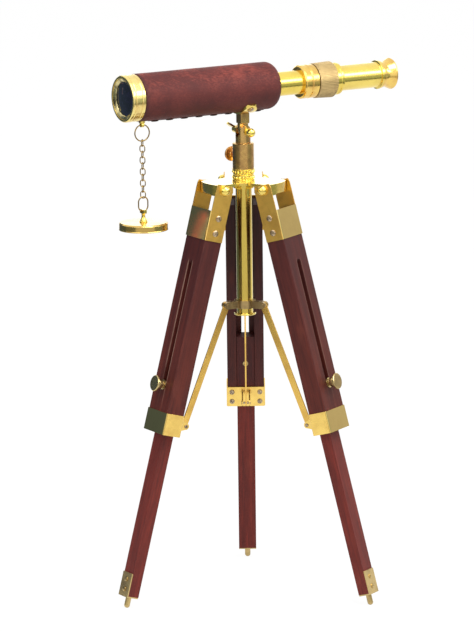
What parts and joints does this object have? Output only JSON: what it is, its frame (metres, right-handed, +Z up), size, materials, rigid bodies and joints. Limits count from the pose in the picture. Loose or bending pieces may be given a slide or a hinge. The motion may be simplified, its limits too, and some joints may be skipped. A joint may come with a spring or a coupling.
{
  "type": "telescope",
  "caption": "Table-top brass draw telescope with a stitched leather barrel on a folding wood and brass tripod, its lens cap hanging on a chain",
  "frame": {"origin": "on the floor plane under the column's axis, between the three feet", "axes": "+Z up along the column, +X the way the objective points with the first leg below it, +Y to the left of the telescope's line of sight"},
  "size_m": [0.2551, 0.2088, 0.4308],
  "materials": {
    "brass": "polished, lightly aged",
    "matte_brass": "matte, knurled",
    "chain_brass": "polished",
    "leather": "satin, stitched",
    "leg_wood": "varnished",
    "lower_wood": "varnished",
    "glass": "clear"
  },
  "bodies": {
    "head": {"socket": "brass", "knurled_ring_nut": "brass", "head_plate": "brass", "column_tube": "brass", "column_flange": "brass"},
    "swivel": {"swivel_stem": "brass", "tilt_bolt": "brass"},
    "wing": {"wing_nut": "brass"},
    "lock_screw": {"socket_thumb_screw": "brass"},
    "telescope": {"barrel_tube": "brass", "leather_cover": "leather", "objective_cell": "brass", "objective_lens": "glass", "lens_retaining_ring": "brass", "rear_bush": "brass", "chain_boss": "brass", "saddle_plate": "brass", "saddle_screws": "brass", "tilt_tongue": "brass"},
    "draw": {"draw_tube": "brass", "erector_lens": "glass", "focus_collar": "brass"},
    "focus": {"focus_ring": "matte_brass"},
    "eyepiece": {"eyepiece_tube": "brass", "eyecup": "brass", "eye_lens": "glass"},
    "ring": {"split_ring": "chain_brass"},
    "chain": {"chain_links": "chain_brass", "cap_ring": "chain_brass"},
    "cap": {"cap_finial": "brass", "lens_cap": "brass"},
    "collar": {"brace_collar": "brass", "brace_pins": "brass"},
    "leg_1": {"leg_1_channel": "leg_wood", "leg_1_top_bracket": "brass", "leg_1_ferrule": "brass", "leg_1_fasteners": "brass", "leg_1_pivot_bolt": "brass"},
    "lower_leg_1": {"leg_1_slider": "lower_wood", "leg_1_foot": "brass"},
    "knob_1": {"leg_1_clamp_knob": "brass"},
    "strut_1": {"leg_1_strut": "brass"},
    "leg_2": {"leg_2_channel": "leg_wood", "leg_2_top_bracket": "brass", "leg_2_ferrule": "brass", "leg_2_fasteners": "brass", "leg_2_pivot_bolt": "brass"},
    "lower_leg_2": {"leg_2_slider": "lower_wood", "leg_2_foot": "brass"},
    "knob_2": {"leg_2_clamp_knob": "brass"},
    "strut_2": {"leg_2_strut": "brass"},
    "leg_3": {"leg_3_channel": "leg_wood", "leg_3_top_bracket": "brass", "leg_3_ferrule": "brass", "leg_3_fasteners": "brass", "leg_3_pivot_bolt": "brass"},
    "lower_leg_3": {"leg_3_slider": "lower_wood", "leg_3_foot": "brass"},
    "knob_3": {"leg_3_clamp_knob": "brass"},
    "strut_3": {"leg_3_strut": "brass"}
  },
  "joints": [
    {"name": "pan", "type": "hinge", "parent": "head", "child": "swivel", "pos_m": [0, 0, 0.35738], "axis": [0, 0, 1], "continuous": true},
    {"name": "tilt", "type": "hinge", "parent": "swivel", "child": "telescope", "pos_m": [0, 0, 0.37688], "axis": [0, 1, 0], "range_deg": [-35, 15]},
    {"name": "draw_slide", "type": "slide", "parent": "telescope", "child": "draw", "axis": [-1, 0, 0], "range_m": [-0.0215, 0.025]},
    {"name": "focus_turn", "type": "hinge", "parent": "draw", "child": "focus", "pos_m": [-0.07, 0, 0.41168], "axis": [1, 0, 0], "range_deg": [-150, 150]},
    {"name": "eyepiece_slide", "type": "slide", "parent": "draw", "child": "eyepiece", "axis": [-1, 0, 0], "range_m": [-0.003, 0.003]},
    {"name": "ring_swing", "type": "hinge", "parent": "telescope", "child": "ring", "pos_m": [0.092, 0, 0.38978], "axis": [1, 0, 0], "range_deg": [-30, 30]},
    {"name": "chain_swing", "type": "hinge", "parent": "ring", "child": "chain", "pos_m": [0.092, 0, 0.37678], "axis": [0, -1, 0], "range_deg": [-20, 20]},
    {"name": "cap_swing", "type": "hinge", "parent": "chain", "child": "cap", "pos_m": [0.092, 0, 0.32053], "axis": [1, 0, 0], "range_deg": [-25, 25]},
    {"name": "wing_nut_turn", "type": "hinge", "parent": "swivel", "child": "wing", "pos_m": [0, -0.01, 0.37688], "axis": [0, -1, 0], "range_deg": [-180, 180]},
    {"name": "lock_screw_turn", "type": "hinge", "parent": "head", "child": "lock_screw", "pos_m": [0, -0.015, 0.35598], "axis": [0, -1, 0], "range_deg": [-180, 180]},
    {"name": "leg_1_fold", "type": "hinge", "parent": "head", "child": "leg_1", "pos_m": [0.0265, 0, 0.33298], "axis": [0, -1, 0], "range_deg": [-13, 0]},
    {"name": "leg_2_fold", "type": "hinge", "parent": "head", "child": "leg_2", "pos_m": [-0.01325, 0.02295, 0.33298], "axis": [0.866, 0.5, 0], "range_deg": [-13, 0]},
    {"name": "leg_3_fold", "type": "hinge", "parent": "head", "child": "leg_3", "pos_m": [-0.01325, -0.02295, 0.33298], "axis": [-0.866, 0.5, 0], "range_deg": [-13, 0]},
    {"name": "collar_slide", "type": "slide", "parent": "head", "child": "collar", "axis": [0, 0, 1], "range_m": [0, 0.0064]},
    {"name": "strut_1_turn", "type": "hinge", "parent": "collar", "child": "strut_1", "pos_m": [0.0172, 0, 0.23658], "axis": [0, -1, 0], "range_deg": [-25.56, 0.5]},
    {"name": "strut_2_turn", "type": "hinge", "parent": "collar", "child": "strut_2", "pos_m": [-0.0086, 0.0149, 0.23658], "axis": [0.866, 0.5, 0], "range_deg": [-25.56, 0.5]},
    {"name": "strut_3_turn", "type": "hinge", "parent": "collar", "child": "strut_3", "pos_m": [-0.0086, -0.0149, 0.23658], "axis": [-0.866, 0.5, 0], "range_deg": [-25.56, 0.5]},
    {"name": "lower_leg_1_slide", "type": "slide", "parent": "leg_1", "child": "lower_leg_1", "axis": [0.2588, 0, -0.9659], "range_m": [-0.095, 0]},
    {"name": "lower_leg_2_slide", "type": "slide", "parent": "leg_2", "child": "lower_leg_2", "axis": [-0.1294, 0.2241, -0.9659], "range_m": [-0.095, 0]},
    {"name": "lower_leg_3_slide", "type": "slide", "parent": "leg_3", "child": "lower_leg_3", "axis": [-0.1294, -0.2241, -0.9659], "range_m": [-0.095, 0]},
    {"name": "knob_1_turn", "type": "hinge", "parent": "lower_leg_1", "child": "knob_1", "pos_m": [0.08002, 0, 0.1796], "axis": [0.9659, 0, 0.2588], "range_deg": [-180, 180]},
    {"name": "knob_2_turn", "type": "hinge", "parent": "lower_leg_2", "child": "knob_2", "pos_m": [-0.04001, 0.0693, 0.1796], "axis": [-0.483, 0.8365, 0.2588], "range_deg": [-180, 180]},
    {"name": "knob_3_turn", "type": "hinge", "parent": "lower_leg_3", "child": "knob_3", "pos_m": [-0.04001, -0.0693, 0.1796], "axis": [-0.483, -0.8365, 0.2588], "range_deg": [-180, 180]}
  ],
  "couplings": [
    {"joint": "leg_2_fold", "follows": "leg_1_fold", "ratio": 1},
    {"joint": "leg_3_fold", "follows": "leg_1_fold", "ratio": 1},
    {"joint": "collar_slide", "follows": "leg_1_fold", "m_per_rad": -0.027312},
    {"joint": "strut_1_turn", "follows": "leg_1_fold", "ratio": 1.9276},
    {"joint": "strut_2_turn", "follows": "leg_1_fold", "ratio": 1.9276},
    {"joint": "strut_3_turn", "follows": "leg_1_fold", "ratio": 1.9276},
    {"joint": "eyepiece_slide", "follows": "focus_turn", "m_per_rad": 0.0011459}
  ]
}
